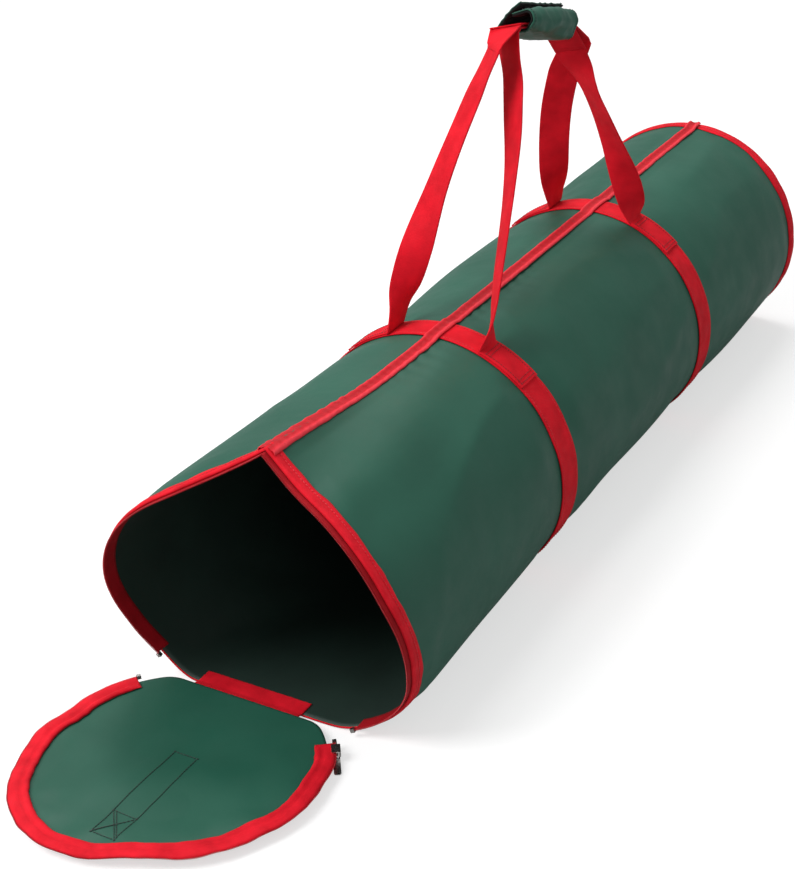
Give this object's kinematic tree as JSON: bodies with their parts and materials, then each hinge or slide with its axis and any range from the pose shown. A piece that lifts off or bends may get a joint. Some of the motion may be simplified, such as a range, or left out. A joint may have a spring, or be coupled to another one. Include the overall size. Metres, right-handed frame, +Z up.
{
  "type": "gift wrap storage bag",
  "caption": "Soft tube bag for rolls of wrapping paper: zipped round end flap, webbing bands, two carry handles joined by a wrap grip.",
  "frame": {"origin": "middle of the underside of the front webbing band, where the bag meets the floor", "axes": "+Y along the bag from its mouth to its closed end, +X to the right seen from the mouth, +Z up"},
  "size_m": [0.3066, 1.2563, 0.5213],
  "materials": {
    "green_coated": "dark green coated polyester, satin, softly wrinkled",
    "red_tape": "bright red woven binding and zip tape, matt",
    "red_webbing": "bright red flat woven webbing, matt",
    "black_lining": "black napped lining and hook-and-loop strip",
    "red_coil": "red nylon zip coil",
    "slider_metal": "plated die-cast zip slider and stops"
  },
  "bodies": {
    "root": {"main_panel": "green_coated", "rear_panel": "green_coated", "rear_binding": "red_tape", "top_seam_tape": "red_tape", "mouth_binding": "red_tape", "mouth_zip_tape": "red_tape", "mouth_zip_coil": "red_coil", "mouth_zip_stop_left": "slider_metal", "mouth_zip_stop_right": "slider_metal", "mouth_hinge_tape": "red_tape", "front_band": "red_webbing", "rear_band": "red_webbing", "front_left_strap_end": "red_webbing", "front_right_strap_end": "red_webbing", "rear_left_strap_end": "red_webbing", "rear_right_strap_end": "red_webbing"},
    "flap": {"flap_panel": "green_coated", "flap_binding": "red_tape", "flap_zip_tape": "red_tape", "flap_zip_coil": "red_coil", "flap_zip_stop_left": "slider_metal", "flap_zip_stop_right": "slider_metal", "flap_hinge_tape": "red_tape", "flap_pull_strap": "red_webbing"},
    "slider": {"zip_slider": "slider_metal"},
    "pull": {"zip_pull_tab": "slider_metal"},
    "left_handle": {"left_handle_webbing": "red_webbing"},
    "right_handle": {"right_handle_webbing": "red_webbing", "grip_wrap": "green_coated", "grip_lining": "black_lining", "grip_loop_strip": "black_lining"},
    "grip_side": {"grip_flap": "green_coated", "grip_flap_lining": "black_lining", "grip_hook_strip": "black_lining"}
  },
  "joints": [
    {"name": "flap_hinge", "type": "hinge", "parent": "root", "child": "flap", "pos_m": [-0.033, -0.3135, 0.0045], "axis": [-1, 0, 0], "range_deg": [0, 65]},
    {"name": "zip_slider_travel", "type": "hinge", "parent": "flap", "child": "slider", "pos_m": [-0.033, -0.419, 0.0079], "axis": [0, 0, -1], "range_deg": [0, 248]},
    {"name": "zip_pull_swing", "type": "hinge", "parent": "slider", "child": "pull", "pos_m": [0.0771, -0.34474, 0.0041], "axis": [0.829, 0.5592, 0], "range_deg": [-5, 160]},
    {"name": "left_handle_fold", "type": "hinge", "parent": "root", "child": "left_handle", "pos_m": [-0.04869, 0, 0.23886], "axis": [0, -1, 0], "range_deg": [0, 95]},
    {"name": "right_handle_fold", "type": "hinge", "parent": "root", "child": "right_handle", "pos_m": [0.04869, 0, 0.23886], "axis": [0, 1, 0], "range_deg": [0, 95]},
    {"name": "grip_flap_open", "type": "hinge", "parent": "left_handle", "child": "grip_side", "pos_m": [-0.018, 0.20492, 0.48328], "axis": [0, -0.9715, 0.2368], "range_deg": [0, 130]}
  ]
}
